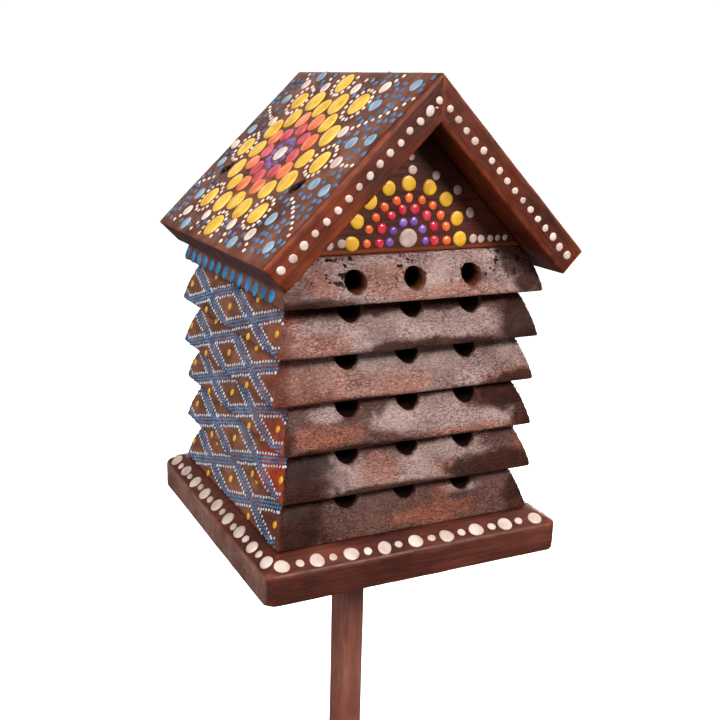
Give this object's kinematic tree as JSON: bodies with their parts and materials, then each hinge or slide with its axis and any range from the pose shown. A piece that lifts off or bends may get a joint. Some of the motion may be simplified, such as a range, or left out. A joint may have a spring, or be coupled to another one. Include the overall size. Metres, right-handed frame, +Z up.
{
  "type": "insect hotel",
  "caption": "Wooden insect hotel on a pole: stacked lift-off nest trays with blind channels, a base board and a gable roof decorated with raised paint dots.",
  "frame": {"origin": "on the pole's axis at ground level; the length below it stands in the soil", "axes": "+Z up along the pole, nest holes face -Y, +X to the right of a viewer who faces the holes"},
  "size_m": [0.1444, 0.145, 0.5064],
  "materials": {
    "burnt_wood": "brushed, burnt and waxed",
    "gable_wood": "stained, satin",
    "stained_wood": "mahogany stain, satin",
    "pole_wood": "stained dowel, satin",
    "peg_wood": "plain dowel",
    "screw_steel": "dulled zinc",
    "cream_paint": "raised dot paint",
    "pale_paint": "raised dot paint",
    "yellow_paint": "raised dot paint",
    "orange_paint": "raised dot paint",
    "red_paint": "raised dot paint",
    "purple_paint": "raised dot paint",
    "blue_paint": "raised dot paint",
    "light_blue_paint": "raised dot paint"
  },
  "bodies": {
    "pole": {"pole": "pole_wood"},
    "house": {"base_board": "stained_wood", "base_screws": "screw_steel", "tray_6": "burnt_wood", "pegs_6": "peg_wood"},
    "tray_5": {"tray_5": "burnt_wood", "pegs_5": "peg_wood"},
    "tray_4": {"tray_4": "burnt_wood", "pegs_4": "peg_wood"},
    "tray_3": {"tray_3": "burnt_wood", "pegs_3": "peg_wood"},
    "tray_2": {"tray_2": "burnt_wood", "pegs_2": "peg_wood"},
    "tray_1": {"tray_1": "burnt_wood", "pegs_1": "peg_wood"},
    "roof": {"gable_front": "gable_wood", "gable_rear": "gable_wood", "roof_board_left": "stained_wood", "roof_board_right": "stained_wood", "roof_screws": "screw_steel"}
  },
  "joints": [
    {"name": "house_swivel", "type": "hinge", "parent": "pole", "child": "house", "pos_m": [0, 0, 0.189], "axis": [0, 0, 1], "continuous": true},
    {"name": "tray_5_lift", "type": "slide", "parent": "house", "child": "tray_5", "axis": [0, 0, 1], "range_m": [0, 0.03]},
    {"name": "tray_4_lift", "type": "slide", "parent": "tray_5", "child": "tray_4", "axis": [0, 0, 1], "range_m": [0, 0.03]},
    {"name": "tray_3_lift", "type": "slide", "parent": "tray_4", "child": "tray_3", "axis": [0, 0, 1], "range_m": [0, 0.03]},
    {"name": "tray_2_lift", "type": "slide", "parent": "tray_3", "child": "tray_2", "axis": [0, 0, 1], "range_m": [0, 0.03]},
    {"name": "tray_1_lift", "type": "slide", "parent": "tray_2", "child": "tray_1", "axis": [0, 0, 1], "range_m": [0, 0.03]},
    {"name": "roof_lift", "type": "slide", "parent": "tray_1", "child": "roof", "axis": [0, 0, 1], "range_m": [0, 0.04]}
  ]
}
